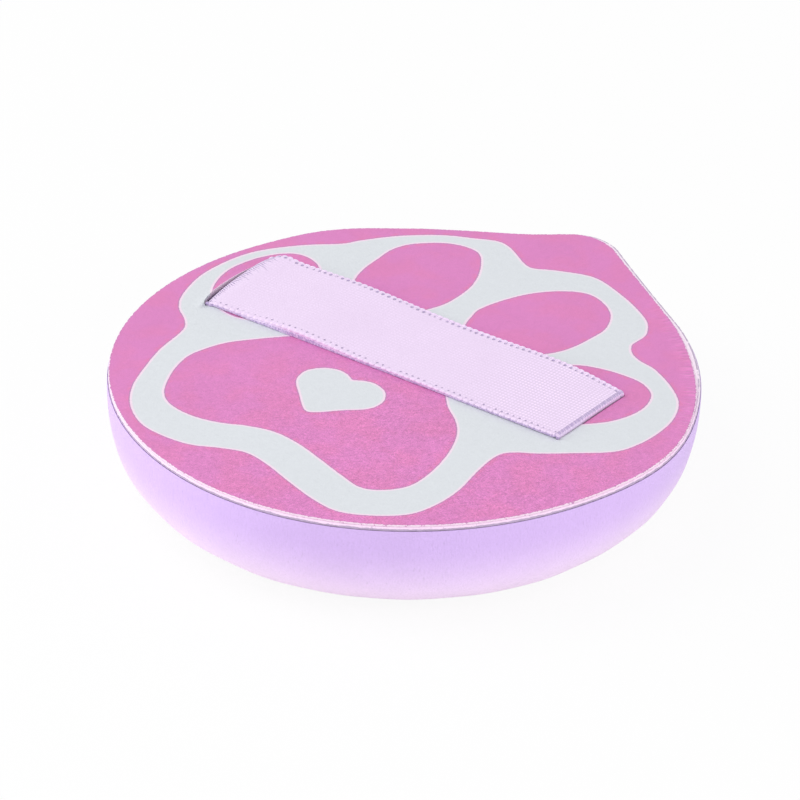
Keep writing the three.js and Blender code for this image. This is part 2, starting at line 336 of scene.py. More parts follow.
class Signal:
    """One output of a node. Arithmetic on it adds the nodes that work out the result."""

    def __init__(self, tree, socket):
        self.tree, self.socket = tree, socket

    def math(self, operation, *others):
        return self.tree.math(operation, self, *others)

    def __add__(self, other):
        return self.math("ADD", other)

    def __sub__(self, other):
        return self.math("SUBTRACT", other)

    def __rsub__(self, other):
        return self.tree.math("SUBTRACT", other, self)

    def __mul__(self, other):
        return self.math("MULTIPLY", other)

    def __truediv__(self, other):
        return self.math("DIVIDE", other)

    def __pow__(self, power):
        return self.math("POWER", power)

    def __abs__(self):
        return self.math("ABSOLUTE")

    def larger(self, other):
        return self.math("MAXIMUM", other)

    def ramp(self, low, high):
        """0 at low, 1 at high, and a smooth rise between them."""
        inputs = {"Value": self, "From Min": low, "From Max": high}
        return self.tree.node("MapRange", "Result", inputs, interpolation_type="SMOOTHSTEP")

    def wave(self, pitch):
        """A wave from 0 to 1 and back at each pitch."""
        return (self * (2 * math.pi / pitch)).math("SINE") * 0.5 + 0.5

    def vary(self, amount):
        """1 plus or minus an amount, as this is above or below its middle."""
        return self * (amount * 2) + (1 - amount)

    def noise(self, size, detail=2.0, roughness=0.5):
        """Smooth noise round 0.5 at these coordinates, whose grains are about this size."""
        inputs = {"Vector": self, "Scale": 1 / size, "Detail": detail, "Roughness": roughness}
        return self.tree.node("TexNoise", "Fac", inputs)

    def stretch(self, x, y, z):
        """These coordinates multiplied axis by axis."""
        return self.tree.node("VectorMath", 0, {0: self, 1: (x, y, z)}, operation="MULTIPLY")

    def shade(self, amount):
        """This colour multiplied by a number."""
        return self.tree.node("VectorMath", 0, {0: self, "Scale": amount}, operation="SCALE")

    def toward(self, colour, factor):
        """From this colour at 0 to another at 1."""
        other = colour if isinstance(colour, Signal) else (*colour, 1.0)
        return self.tree.node("Mix", 2, {0: factor, 6: self, 7: other}, data_type="RGBA")

    def bump(self, depth, normal=None):
        """A normal that is tilted as if the surface rose by depth where this is 1."""
        inputs = {"Height": self, "Distance": depth}
        if normal:
            inputs["Normal"] = normal
        return self.tree.node("Bump", "Normal", inputs)


class Tree:
    """The nodes of a material or a world, which are added one at a time."""

    def __init__(self, owner):
        owner.use_nodes = True
        self.nodes, self.links = owner.node_tree.nodes, owner.node_tree.links

    def feed(self, node, inputs):
        """Links a signal to an input, or sets the input to a constant."""
        for key, value in inputs.items():
            if isinstance(value, Signal):
                self.links.new(value.socket, node.inputs[key])
            else:
                node.inputs[key].default_value = value

    def node(self, kind, output, inputs=None, **settings):
        """One output of a new node."""
        made = self.nodes.new("ShaderNode" + kind)
        for key, value in settings.items():
            setattr(made, key, value)
        self.feed(made, inputs or {})
        return Signal(self, made.outputs[output])

    def math(self, operation, *values):
        return self.node("Math", 0, dict(enumerate(values)), operation=operation)


class Finish(Tree):
    """A material and its nodes."""

    def __init__(self, name, **sockets):
        self.material = bpy.data.materials.new(name)
        super().__init__(self.material)
        self.shader = self.nodes["Principled BSDF"]
        self.feed(self.shader, {key.replace("_", " "): value for key, value in sockets.items()})

    def place(self):
        """The piece's own coordinates, in metres."""
        return self.node("TexCoord", "Object")

    def axis(self, name):
        """One of the piece's own coordinates."""
        return self.node("SeparateXYZ", name, {0: self.place()})

    def angle(self):
        """The angle round the round end's centre, from X towards Y."""
        return (self.axis("Y") - float(ROUND_CENTRE[1])).math("ARCTAN2", self.axis("X"))

    def joined(self, x, y=0.0):
        """Coordinates from two numbers."""
        return self.node("CombineXYZ", 0, {"X": x, "Y": y})

    def value(self, name):
        """A number that the mesh carries at each vertex."""
        return self.node("Attribute", "Fac", attribute_name=name)

    def paint(self, colour):
        """A colour property as a signal."""
        return self.node("CombineColor", 0, dict(enumerate(colour)))

    def done(self, colour, normal):
        self.feed(self.shader, {"Base Color": colour, "Normal": normal})
        return self.material


def arc(centre_x, centre_y, radius, start, end, steps):
    """Points on a circle from one angle to the other, without the last."""
    angle = np.linspace(start, end, steps, endpoint=False)
    return np.stack([centre_x + radius * np.cos(angle), centre_y + radius * np.sin(angle)], axis=1)


def strayed(outline, bells, amount=1.0):
    """The outline pushed out by a sum of bell curves of the angle round the round end's centre."""
    away = outline - ROUND_CENTRE
    angle = np.degrees(np.arctan2(away[:, 1], away[:, 0]))
    push = sum(far * np.exp(-((((angle - at + 180) % 360 - 180) / wide) ** 2)) for at, wide, far in bells)
    return pushed_out(outline, amount * push)


def drop_outline(shape, inset, stray=1.0):
    """Points round the drop at one inset, counter-clockwise: the round end's arc, a flank's, the tip's and the other
    flank's. A flank's centre is as far from both other centres as their radii and its own add up to. The rim's strays
    are added by a share."""
    round_end = ROUND_RADIUS - inset
    tip = shape.tip_radius + inset * shape.tip_rounding
    tip_centre = TIP_REACH - inset * shape.tip_draw - tip
    to_round = shape.flank_radius + round_end
    to_tip = shape.flank_radius + tip
    flank_y = (to_round**2 - to_tip**2 + tip_centre**2) / (2 * tip_centre)
    flank_x = math.sqrt(to_round**2 - flank_y**2)
    round_turn = math.atan2(flank_y, flank_x)
    tip_turn = math.atan2(flank_y - tip_centre, flank_x)
    half = math.pi
    arcs = [
        arc(0, 0, round_end, half - round_turn, 2 * half + round_turn, ROUND_STEPS),
        arc(flank_x, flank_y, shape.flank_radius, half + round_turn, half + tip_turn, FLANK_STEPS),
        arc(0, tip_centre, tip, tip_turn, half - tip_turn, TIP_STEPS),
        arc(-flank_x, flank_y, shape.flank_radius, -tip_turn, -round_turn, FLANK_STEPS),
    ]
    return strayed(np.concatenate(arcs) + ROUND_CENTRE, RIM_STRAYS, stray)


def waver(count, low, high, seed):
    """An uneven closed wave between about -1 and 1: sines of whole numbers of turns, with random heights and starts."""
    random = np.random.default_rng(seed)
    turns = np.arange(low, high)
    heights = random.normal(size=len(turns)) / math.sqrt(len(turns))
    starts = random.uniform(0, 2 * math.pi, len(turns))
    angle = np.linspace(0, 2 * math.pi, count, endpoint=False)
    return (np.sin(angle[:, None] * turns + starts) * heights).sum(axis=1)


def pushed_out(outline, distance):
    """The outline with each point moved away from the round end's centre by its own distance."""
    away = outline - ROUND_CENTRE
    return outline + away / np.linalg.norm(away, axis=1)[:, None] * distance[:, None]


def raised(outline, height):
    """Flat points with a height of their own or in common."""
    heights = np.broadcast_to(height, len(outline))[:, None]
    return np.concatenate([outline, heights], axis=1)


def mesh_object(name, *surfaces):
    """A mesh object from surfaces, each an array of points, one of four-cornered faces and one of three-cornered
    faces. Every surface after the first takes the next material."""
    counts = np.cumsum([0] + [len(points) for points, _, _ in surfaces])
    quads = [quads + start for (_, quads, _), start in zip(surfaces, counts)]
    triangles = [triangles + start for (_, _, triangles), start in zip(surfaces, counts)]
    materials = [np.full(len(quads), index) for index, (_, quads, _) in enumerate(surfaces)]
    materials += [np.full(len(triangles), index) for index, (_, _, triangles) in enumerate(surfaces)]
    quads, triangles = np.concatenate(quads), np.concatenate(triangles)
    vertices = np.concatenate([points for points, _, _ in surfaces])
    corners = np.concatenate([quads.ravel(), triangles.ravel()]).astype(np.int32)
    starts = np.concatenate([np.arange(len(quads)) * 4, quads.size + np.arange(len(triangles)) * 3])
    mesh = bpy.data.meshes.new(name)
    mesh.vertices.add(len(vertices))
    mesh.vertices.foreach_set("co", vertices.astype(np.float32).ravel())
    mesh.loops.add(len(corners))
    mesh.loops.foreach_set("vertex_index", corners)
    mesh.polygons.add(len(starts))
    mesh.polygons.foreach_set("loop_start", starts.astype(np.int32))
    mesh.polygons.foreach_set("material_index", np.concatenate(materials).astype(np.int32))
    mesh.polygons.foreach_set("use_smooth", np.ones(len(starts), bool))
    mesh.update(calc_edges=True)
    piece = bpy.data.objects.new(name, mesh)
    bpy.context.scene.collection.objects.link(piece)
    return piece


def skin_faces(rows, columns):
    """The four-cornered faces between closed rings of equally many points, row after row."""
    column = np.arange(columns)
    first = np.arange(rows - 1)[:, None] * columns + column
    second = np.arange(rows - 1)[:, None] * columns + (column + 1) % columns
    return np.stack([first, second, second + columns, first + columns], axis=2).reshape(-1, 4)


def skin(rings):
    """Skins closed rings in a row and closes both ends with a fan of triangles to the end ring's middle. Rings that run
    counter-clockwise and rise give faces that point outwards."""
    rows, columns = rings.shape[:2]
    vertices = np.concatenate([rings.reshape(-1, 3), rings[:1].mean(axis=1), rings[-1:].mean(axis=1)])
    column = np.arange(columns)
    following = (column + 1) % columns
    pole = np.full(columns, rows * columns)
    last = (rows - 1) * columns
    start_fan = np.stack([pole, following, column], axis=1)
    end_fan = np.stack([last + column, last + following, pole + 1], axis=1)
    return vertices, skin_faces(rows, columns), np.concatenate([start_fan, end_fan])


def band(rings):
    """Skins flat loops in a row and closes both ends with a ladder of faces between the loop's two long sides."""
    rows, columns = rings.shape[:2]
    side = np.arange(columns // 2 - 1)
    start = np.stack([side, columns - 1 - side, columns - 2 - side, side + 1], axis=1)
    end = (rows - 1) * columns + start[:, ::-1]
    quads = np.concatenate([skin_faces(rows, columns), start[:, ::-1], end[:, ::-1]])
    return rings.reshape(-1, 3), quads, np.zeros((0, 3), int)


def tube(line, radius, sides):
    """Skins circles square to the line's own direction, each set up from the direction across the ribbon."""
    ahead = np.gradient(line, axis=0)
    ahead /= np.linalg.norm(ahead, axis=1, keepdims=True)
    level = np.cross(ahead, (0, 1.0, 0))
    level /= np.linalg.norm(level, axis=1, keepdims=True)
    other = np.cross(ahead, level)
    angle = np.linspace(0, 2 * math.pi, sides, endpoint=False)[None, :, None]
    radius = np.broadcast_to(radius, len(line))[:, None, None]
    rings = line[:, None] + radius * (np.cos(angle) * level[:, None] + np.sin(angle) * other[:, None])
    return skin(rings)


def layer_rings(outline, bottom, top, rings, ease, lean=0.0):
    """Rings of a flat layer: the outline drawn towards its middle by a share, from the middle of the underside out to
    the edge, up over its eased corners, and back to the middle on top. The edge leans in towards the top."""
    centre = ROUND_CENTRE if len(outline) > 4 * CORNER_STEPS else outline.mean(axis=0)
    reach = np.linalg.norm(outline - centre, axis=1).mean()
    below = (1 - ease / reach) * np.linspace(0, 1, UNDERSIDE_RINGS + 1)[1:]
    above = (1 - (ease + lean) / reach) * np.linspace(1, 0, rings + 1)[:-1]
    shares = np.concatenate([below, [1, 1 - lean / reach], above])[:, None, None]
    heights = np.concatenate([np.full(len(below), bottom), [bottom + ease, top - ease], np.full(rings, top)])
    flat = centre + (outline - centre) * shares
    heights = np.broadcast_to(heights[:, None, None], (*flat.shape[:2], 1))
    return np.concatenate([flat, heights], axis=2)


def points_of(piece):
    """The piece's vertices as an array."""
    points = np.zeros(len(piece.data.vertices) * 3, np.float32)
    piece.data.vertices.foreach_get("co", points)
    return points.reshape(-1, 3).astype(float)


def carry(piece, name, values):
    """Gives each vertex of the piece a number that its material reads."""
    attribute = piece.data.attributes.new(name, "FLOAT", "POINT")
    attribute.data.foreach_set("value", values.astype(np.float32))


def cut_away(piece, cutters):
    """Cuts closed solids out of the piece and removes them."""
    for cutter in cutters:
        modifier = piece.modifiers.new(cutter.name, "BOOLEAN")
        modifier.object = cutter
        modifier.operation = "DIFFERENCE"
        modifier.solver = "MANIFOLD"
    shown = piece.evaluated_get(bpy.context.evaluated_depsgraph_get())
    cut = bpy.data.meshes.new_from_object(shown)
    piece.modifiers.clear()
    piece.data = cut
    for cutter in cutters:
        bpy.data.objects.remove(cutter)


def dress(piece, materials, body=None, sharp=0.7):
    """Gives a piece its materials, its body and, past an angle, sharp edges."""
    piece.data.materials.clear()
    for material in materials:
        piece.data.materials.append(material)
    piece.data.set_sharp_from_angle(angle=sharp)
    if body:
        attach(piece, body)


def smooth_line(points, closed):
    """A curve through the points: each span is a cubic whose slope at a point is half the step between its
    neighbours."""
    if closed:
        row = [np.roll(points, shift, axis=0) for shift in (1, 0, -1, -2)]
    else:
        first, last = 2 * points[:1] - points[1:2], 2 * points[-1:] - points[-2:-1]
        whole = np.concatenate([first, points, last])
        row = [whole[:-3], whole[1:-2], whole[2:-1], whole[3:]]
    a, b, c, d = row
    t = np.linspace(0, 1, SPLINE_STEPS, endpoint=False)[:, None, None]
    curve = b + t * (c - a) / 2 + t**2 * (a - 2.5 * b + 2 * c - d / 2) + t**3 * (1.5 * (b - c) + (d - a) / 2)
    return curve.transpose(1, 0, 2).reshape(-1, 2)


def depth_inside(places, outline):
    """How far each place is inside the outline, and less than zero outside. The distance is the least one to the
    outline's straight pieces, and a place is inside if a line from it to the right crosses the outline an odd number
    of times."""
    nearest = np.full(len(places), np.inf)
    crossings = np.zeros(len(places), int)
    x, y = places.T
    for (ax, ay), (bx, by) in zip(outline, np.roll(outline, -1, axis=0)):
        run_x, run_y = bx - ax, by - ay
        t = np.clip(((x - ax) * run_x + (y - ay) * run_y) / (run_x**2 + run_y**2), 0, 1)
        nearest = np.minimum(nearest, (x - ax - t * run_x) ** 2 + (y - ay - t * run_y) ** 2)
        if ay != by:
            crosses = (ay > y) != (by > y)
            crossings += crosses & (x < ax + (y - ay) * run_x / run_y)
    return np.sqrt(nearest) * np.where(crossings % 2, 1, -1)


def print_depth(places):
    """How far each place is inside the pink ink: outside the pale shape, in a toe, or in the pad but not its heart."""

    def inside(points, closed=True):
        line = smooth_line(np.array(points) / 1000, closed)
        return depth_inside(places, ROUND_CENTRE + line * ROUND_RADIUS)

    toes = [inside(points) for points in TOE_LINES]
    pad = np.minimum(inside(PAD_LINE), -inside(HEART_LINE, False))
    return np.maximum.reduce([-inside(PALE_LINE), *toes, pad])


def area_within(outline):
    """The area inside a closed outline, from the cross products of its neighbouring points."""
    after = np.roll(outline, -1, axis=0)
    return float(abs((outline[:, 0] * after[:, 1] - outline[:, 1] * after[:, 0]).sum()) / 2)


def unit(value):
    """The value held between 0 and 1."""
    return np.clip(value, 0, 1)


def slit_reach(ribbon, side):
    """How far from the strap's middle the ribbon drops through the slit on this side."""
    reach = (RIGHT_END_HIGH.x - LEFT_END_LOW.x - ribbon.thickness) / 2
    return reach - ribbon.fold_tuck if side > 0 else reach


def bowed(ribbon, side, across):
    """How much further out the ribbon's end lies at each place across it. The left end is a parabola whose top is a
    little behind the middle, and a steeper one from there to the back. The right end is straight and slants."""
    across = np.clip(across, -HALF_WIDTH, HALF_WIDTH)
    if side > 0:
        return ribbon.slant * (across / RIBBON_WIDTH + 0.5)
    from_top = across - BOW_TOP
    reach = np.where(from_top > 0, ribbon.bow_back, ribbon.bow_reach)
    return ribbon.bow * (1 - (from_top / reach) ** 2)


def slit_ends(shape, ribbon, side):
    """Where a slit ends in front and at the back, across the ribbon. It is shorter by what the ribbon is drawn in."""
    end = HALF_WIDTH + shape.slit_spare
    return -end, end - (ribbon.pinch if side < 0 else ribbon.taper)


def slit_middle(shape, ribbon, side, across):
    """How far from the strap's middle a slit's middle line is, and its half width. The left slit narrows from its front
    to its back as a smooth step does."""
    step = unit((across - NARROW_START) / NARROW_RUN)
    wide = 1 - NARROWED * step**2 * (3 - 2 * step) if side < 0 else 1.0
    clearance, shift = (shape.left_clearance, shape.left_shift) if side < 0 else (shape.right_clearance, 0)
    reach = slit_reach(ribbon, side) + bowed(ribbon, side, across) + shift * wide
    return reach, ribbon.thickness / 2 + clearance * wide


def slit_offsets(shape, ribbon, side, places):
    """How far outwards each place is from the middle line of the slit on this side, and its distance from the slit's
    edge."""
    across = places[..., 1] - STRAP_Y
    front, back = slit_ends(shape, ribbon, side)
    reach, width = slit_middle(shape, ribbon, side, across)
    out = side * (places[..., 0] - STRAP_X) - reach
    beyond = np.maximum(np.maximum(front - across, across - back), 0)
    return out, np.hypot(out, beyond) - width


def punch(name, outline, bottom, top):
    """An upright solid that cuts its outline out of what it meets."""
    return mesh_object(name, skin(np.stack([raised(outline, bottom), raised(outline, top)])))


def slit_cutters(shape, ribbon):
    """Two upright solids that punch both slits. Their half width is that of the middle times the root of one less a
    power of the share of the slit's half length."""
    turn = np.linspace(0, math.pi, SLIT_STEPS, endpoint=False)
    share = -np.cos(np.concatenate([turn, turn + math.pi]))
    half = np.sqrt(1 - share**SLIT_POWER) * np.repeat([1, -1], SLIT_STEPS)
    cutters = []
    for side in (-1, 1):
        front, back = slit_ends(shape, ribbon, side)
        across = front + (back - front) * (share + 1) / 2
        reach, width = slit_middle(shape, ribbon, side, across)
        outline = np.stack([STRAP_X + side * reach + half * width, STRAP_Y + across], axis=1)
        cutters.append(punch("slit_cutter", outline, FILM_LOW.z - MM, CLOTH_HIGH.z + MM))
    return cutters


def face_relief(shape, ribbon, places):
    """How much higher than flat the cloth lies: a sum of slow waves, and the left slit's two lips, which fade away from
    it: the near one pressed down, the far one lifted, less and less towards the back."""
    x, y = places[..., 0], places[..., 1]
    waves = sum(np.sin(x / (MM * along) + y / (MM * up) + start) for along, up, start in FACE_WAVES) / len(FACE_WAVES)
    out, distance = slit_offsets(shape, ribbon, -1, places)
    lip = np.exp(-LIP_FADE * np.maximum(distance, 0) / shape.lip_reach)
    front = unit((LIFT_END + STRAP_Y - y) / LIFT_RUN)
    return shape.ripple * waves + np.where(out < 0, -shape.lip_drop, shape.lip_lift * front) * lip


def lay(piece, node, finish, outline):
    """Finishes a flat sheet: its looks and body. It hides the imported part that the sheet stands for and works out
    the area inside the outline, which is not kept.
    """
    dress(piece, [finish], "puff")
    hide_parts(node)
    area_within(outline)


def ragged(shape, outline, seed):
    """The outline with the waver of a cut edge."""
    return pushed_out(outline, shape.edge_waver * waver(len(outline), *WAVER_TURNS, seed))


def build_cloth(shape, ribbon, colours):
    """The printed cloth: a thin layer whose top carries the relief, with both slits. Its vertices know how deep they
    are in the ink and how far they are from the rim and from each slit."""
    outline = strayed(drop_outline(shape, CLOTH_SETBACK + shape.cloth_tuck), CLOTH_STRAYS)
    rings = layer_rings(ragged(shape, outline, 3), CLOTH_LOW.z, CLOTH_HIGH.z, FACE_RINGS, shape.edge_ease)
    fade = unit(np.arange(FACE_RINGS) / FADE_RINGS)[:, None]
    rings[-FACE_RINGS:, :, 2] += fade * face_relief(shape, ribbon, rings[-FACE_RINGS:])
    piece = mesh_object("printed_cloth", skin(rings))
    cut_away(piece, slit_cutters(shape, ribbon))
    places = points_of(piece)[:, :2]
    carry(piece, "print_depth", print_depth(places))
    carry(piece, "rim_depth", depth_inside(places, outline))
    for name, side in (("lip_depth", -1), ("fold_depth", 1)):
        carry(piece, name, slit_offsets(shape, ribbon, side, places)[1])
    lay(piece, "printed_face", cloth_finish(colours), outline)


def build_backing(shape, ribbon, colours):
    """The pale backing sheet, whose cut edge shows as the rim and strays a little."""
    outline = drop_outline(shape, shape.rim_tuck)
    edge = ragged(shape, outline, 5)
    rings = layer_rings(edge, BACKING_LOW.z, BACKING_HIGH.z, PLAIN_RINGS, shape.edge_ease, shape.rim_slope)
    piece = mesh_object("backing_sheet", skin(rings))
    cut_away(piece, slit_cutters(shape, ribbon))
    carry(piece, "rim_depth", depth_inside(points_of(piece)[:, :2], outline))
    lay(piece, "face_backing", rim_finish(shape, colours), outline)


def build_film(shape, ribbon, colours):
    """The hot-melt film, drawn back from the rim so that it shows as a dark groove."""
    outline = drop_outline(shape, FILM_SETBACK)
    rings = layer_rings(outline, FILM_LOW.z, FILM_HIGH.z, PLAIN_RINGS, shape.edge_ease / 2)
    piece = mesh_object("bonding_film", skin(rings))
    cut_away(piece, slit_cutters(shape, ribbon))
    lay(piece, "adhesive_film", film_finish(colours), outline)


def build_tab(shape, colours, name, node):
    """A bonding tab under a tail: a small sheet with round corners."""
    low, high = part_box(node)
    outline = rounded_rectangle(low, high, shape.tab_corner)
    rings = layer_rings(outline, low.z, high.z, PLAIN_RINGS, shape.edge_ease / 2)
    piece = mesh_object(name, skin(rings))
    lay(piece, node, tab_finish(colours), outline)


def bowl_rings(shape, wall, turns):
    """Rings of the bowl, a wall inside its outer surface. A turn goes from 0 at the rim to a quarter turn at the sole,
    and the shares by which a ring still has to draw in and to come down are the turn's cosine and one less its sine,
    each raised to two over the fullness."""
    power = 2 / shape.side_fullness
    insets = wall + (shape.sole_inset - wall) * (1 - np.cos(turns).clip(0) ** power)
    heights = wall + (RIM_TOP - wall) * (1 - np.sin(turns) ** power)
    strays = unit((heights - shape.stray_start) / (RIM_TOP - shape.stray_start)) ** 2
    return np.stack([raised(drop_outline(shape, i, s), z) for i, z, s in zip(insets, heights, strays)])


def shrunk_rings(ring, shares):
    """The ring drawn towards the round end's centre by each share but the first and the last, at its own height."""
    centre = np.array([*ROUND_CENTRE, 0])
    flat = centre + (ring * (1, 1, 0) - centre) * np.asarray(shares)[1:-1, None, None]
    return flat + ring * (0, 0, 1)


def rippled(shape, rings):
    """The bowl's side, which swells and sinks a little along slanting waves and not at its top and bottom."""
    around = np.arange(rings.shape[1]) / rings.shape[1] * 2 * math.pi
    level = np.linspace(0, 1, len(rings))[:, None]
    waves = sum(np.sin(turns * around + slope * level + start) for turns, slope, start in SIDE_WAVES) / len(SIDE_WAVES)
    away = rings[..., :2] - ROUND_CENTRE
    away /= np.linalg.norm(away, axis=2, keepdims=True)
    rings[..., :2] += away * (shape.side_ripple * np.sin(level * math.pi) * waves)[..., None]
    return rings


def build_cover(shape, colours):
    """The plush cover: from the middle of the sole out and up the bowl's side, over its lip, and down inside."""
    outside = bowl_rings(shape, 0, np.linspace(QUARTER_TURN, 0, SIDE_RINGS + 1))
    outside = rippled(shape, outside[outside[:, 0, 2] < RIM_TOP - shape.pile_reach])
    sole = shrunk_rings(outside[0], np.linspace(0, 1, SOLE_RINGS + 1))
    turn = np.linspace(0, 2 * QUARTER_TURN, CORNER_STEPS)
    insets = shape.pile_reach * (1 - np.cos(turn))
    heights = RIM_TOP + shape.pile_lip * np.sin(turn)
    rim = np.stack([raised(drop_outline(shape, i), z) for i, z in zip(insets, heights)])
    inside = bowl_rings(shape, shape.cover_wall, np.linspace(0, QUARTER_TURN, INNER_RINGS + 1))
    floor = shrunk_rings(inside[-1], np.linspace(1, 0, PLAIN_RINGS + 1))
    piece = mesh_object("plush_cover", skin(np.concatenate([sole, outside, rim, inside, floor])))
    dress(piece, [plush_finish(colours)], "puff", sharp=0.9)
    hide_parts("soft_cover")


def rounded_rectangle(low, high, radius):
    """Counter-clockwise points of a rectangle whose corners are quarter circles."""
    corners = [
        (high[0] - radius, low[1] + radius), (high[0] - radius, high[1] - radius),
        (low[0] + radius, high[1] - radius), (low[0] + radius, low[1] + radius),
    ]
    turns = [(index - 1) * QUARTER_TURN for index in range(4)]
    arcs = [arc(x, y, radius, turn, turn + QUARTER_TURN, CORNER_STEPS) for (x, y), turn in zip(corners, turns)]
    return np.concatenate(arcs)


def pocket_cutters(shape, ribbon):
    """Two upright solids with round corners, over the tabs and out under the slits, that leave room for the ribbon's
    tails."""
    bend, gap = ribbon.bend_radius + ribbon.thickness / 2, shape.core_gap
    cutters = []
    for node in ("tail_tab_left", "tail_tab_right"):
        low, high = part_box(node)
        corner = (low.x - gap - bend * (low.x < 0), low.y - gap)
        opposite = (high.x + gap + bend * (low.x > 0), high.y + gap)
        outline = rounded_rectangle(corner, opposite, shape.tab_corner)
        cutters.append(punch("pocket_cutter", outline, low.z - gap, CORE_TOP + MM))
    return cutters


def build_core(shape, ribbon, colours):
    """The foam core: the bowl's inside, closed flat on top, with a pocket for each of the ribbon's tails."""
    side = bowl_rings(shape, shape.cover_wall + shape.core_gap, np.linspace(QUARTER_TURN, 0, INNER_RINGS * 2))
    bottom = shrunk_rings(side[0], np.linspace(0, 1, PLAIN_RINGS + 1))
    top = shrunk_rings(side[-1], np.linspace(1, 0, PLAIN_RINGS + 1))
    piece = mesh_object("foam_filling", skin(np.concatenate([bottom, side, top])))
    cut_away(piece, pocket_cutters(shape, ribbon))
    dress(piece, [foam_finish(colours)], "puff", sharp=0.6)
    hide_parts("foam_core")


def span_line(ribbon, side):
    """The middle of half the free span in side view, from the strap's middle out: level, down on a quarter circle, and
    straight down to the middle of the backing."""
    reach = slit_reach(ribbon, side)
    radius = ribbon.fold_radius if side > 0 else ribbon.bend_radius
    level = LEFT_END_HIGH.z - ribbon.thickness / 2
    turn = np.linspace(0, QUARTER_TURN, BEND_STEPS + 1)
    run = np.linspace(0, reach - radius, SPAN_STEPS, endpoint=False)
    drop = np.linspace(level - radius, FACE_MIDDLE, DROP_STEPS + 1)[1:]
    out = np.concatenate([run, reach - radius * (1 - np.sin(turn)), np.full(DROP_STEPS, reach)])
    height = np.concatenate([np.full(SPAN_STEPS, level), level - radius * (1 - np.cos(turn)), drop])
    return out, height


def tail_line(ribbon, side):
    """The middle of a hidden tail in side view: down through the slit, in on a quarter circle, and level."""
    reach = slit_reach(ribbon, side)
    radius, level = ribbon.bend_radius, LEFT_END_LOW.z + ribbon.thickness / 2
    turn = np.linspace(0, QUARTER_TURN, BEND_STEPS + 1)
    drop = np.linspace(FACE_MIDDLE, level + radius, DROP_STEPS, endpoint=False)
    run = np.linspace(reach - radius, STRAP_X - LEFT_END_HIGH.x, TAIL_STEPS + 1)[1:]
    out = np.concatenate([np.full(DROP_STEPS, reach), reach - radius * (1 - np.cos(turn)), run])
    height = np.concatenate([drop, level + radius * (1 - np.sin(turn)), np.full(TAIL_STEPS, level)])
    return out, height


def length_along(line):
    """The length of a line in side view up to each of its points."""
    out, height = line
    return np.concatenate([[0], np.cumsum(np.hypot(np.diff(out), np.diff(height)))])


def half_girth(ribbon):
    """From the ribbon's middle to its edge, measured along its section, and how much of that is flat."""
    flat = HALF_WIDTH - ribbon.thickness / 2 - ribbon.roll_radius
    return flat + ribbon.roll_radius * QUARTER_TURN + ribbon.roll_fall, flat


def ribbon_rise(ribbon, side, out, across):
    """How much higher than its level line the ribbon lies: a sum of bell curves along it, each held to one edge, less a
    sag that fades out at the ends, and less the dip of the left end's front part."""
    reach = slit_reach(ribbon, side)
    place_share, side_share = side * out / reach, np.clip(across / HALF_WIDTH, -1, 1)
    rise = -ribbon.sag * (1 - unit(np.abs(place_share)) ** SAG_POWER)
    for centre, width, edge, height in RIBBON_SWELL_SHARES:
        bell = np.exp(-(((place_share - centre) / width) ** 2))
        rise = rise + ribbon.swell * height * bell * (1 + edge * side_share) / 2
    front = (1 + np.tanh((DIP_SHARE - side_share) * DIP_FADE)) / 2
    return rise - ribbon.dip * front * np.exp(-(((place_share + 1) * reach / DIP_RUN) ** 2))


def ribbon_surface(ribbon, side, line, girth):
    """The ribbon's middle surface at each station and each place round its section, with its normal, its direction
    across and the height of its unrolled middle. The section is flat, then rolls down on a quarter circle and falls to
    just above the face; the roll fades out at the ends. The back corner is drawn in towards its end. Inside its slit
    the ribbon's height no longer changes."""
    out, height = line[0][:, None], line[1][:, None]
    whole, flat = half_girth(ribbon)
    past_slit = out - slit_reach(ribbon, side)
    unrolled = unit(past_slit / UNROLL_RUN + 1) ** 2
    past = np.maximum(np.abs(girth) - flat, 0)[None, :]
    turn = np.clip(past / ribbon.roll_radius, 0, QUARTER_TURN)
    across = np.sign(girth) * (np.minimum(np.abs(girth), flat) + ribbon.roll_radius * np.sin(turn))
    across = across + unrolled * (girth * (flat + ribbon.roll_radius) / whole - across)
    fall = ribbon.roll_radius * (1 - np.cos(turn)) + np.maximum(past - ribbon.roll_radius * QUARTER_TURN, 0)
    least = ribbon.roll_radius + ribbon.roll_fall
    level = LEFT_END_HIGH.z - ribbon.thickness / 2
    above = unit((height - FACE_MIDDLE) / (level - ribbon.bend_radius - FACE_MIDDLE))
    height = height + ribbon_rise(ribbon, side, out, across) * above
    gap = height - ribbon.thickness / 2 - CLOTH_HIGH.z - HOVER
    fall = fall / least * np.clip(gap, least, ribbon.fringe)
    back = unit((across - DRAW_START) / (HALF_WIDTH - DRAW_START))
    pull, pull_reach = (ribbon.pinch, ribbon.pinch_reach) if side < 0 else (ribbon.taper, ribbon.taper_reach)
    drawn = unit(past_slit / pull_reach + 1) ** 2 * pull * back
    drawn = drawn + unrolled * ribbon.squeeze * across / HALF_WIDTH * (side < 0)
    x = STRAP_X + side * (out + unit(past_slit / BOW_RUN + 1) ** 2 * bowed(ribbon, side, across))
    points = np.stack(np.broadcast_arrays(x, STRAP_Y + across - drawn, height - fall * (1 - unrolled)), axis=2)
    ahead, sideways = np.gradient(points, axis=0), np.gradient(points, axis=1)
    normal = np.cross(ahead, sideways) * side
    normal /= np.linalg.norm(normal, axis=2, keepdims=True)
    return points, normal, sideways / np.linalg.norm(sideways, axis=2, keepdims=True), height


